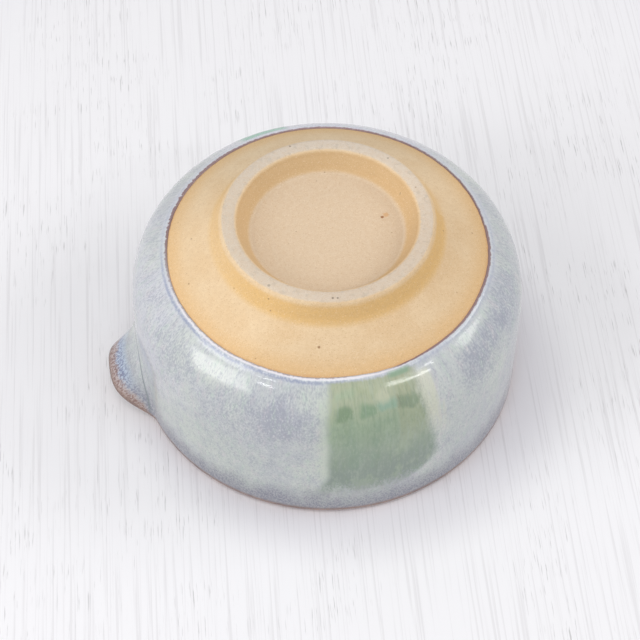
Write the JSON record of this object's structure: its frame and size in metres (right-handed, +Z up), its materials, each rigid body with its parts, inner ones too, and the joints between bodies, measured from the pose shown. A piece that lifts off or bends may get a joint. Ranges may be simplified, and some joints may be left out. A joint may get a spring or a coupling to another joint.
{
  "type": "spouted bowl",
  "caption": "Small glazed stoneware pouring bowl with a short wide spout let into its rim and a turned, unglazed foot ring.",
  "frame": {"origin": "on the bowl's axis, in the plane that its foot ring stands on", "axes": "+Z up through the mouth, +X out along the spout, +Y to the side with the smaller green pour"},
  "size_m": [0.1404, 0.1305, 0.0735],
  "materials": {
    "bare_clay": "unglazed buff stoneware with fine specks, matte",
    "pale_glaze": "glossy grey-blue glaze mottled with lavender and grey-green",
    "iron_glaze": "thin glossy iron-brown glaze",
    "green_glaze": "glossy translucent green glaze"
  },
  "bodies": {
    "root": {"bowl_body": "bare_clay", "foot_ring": "bare_clay", "spout": "bare_clay", "outside_glaze": "pale_glaze", "lining_glaze": "pale_glaze", "lip_band": "iron_glaze", "green_pour_front": "green_glaze", "green_pour_back": "green_glaze"}
  },
  "joints": []
}
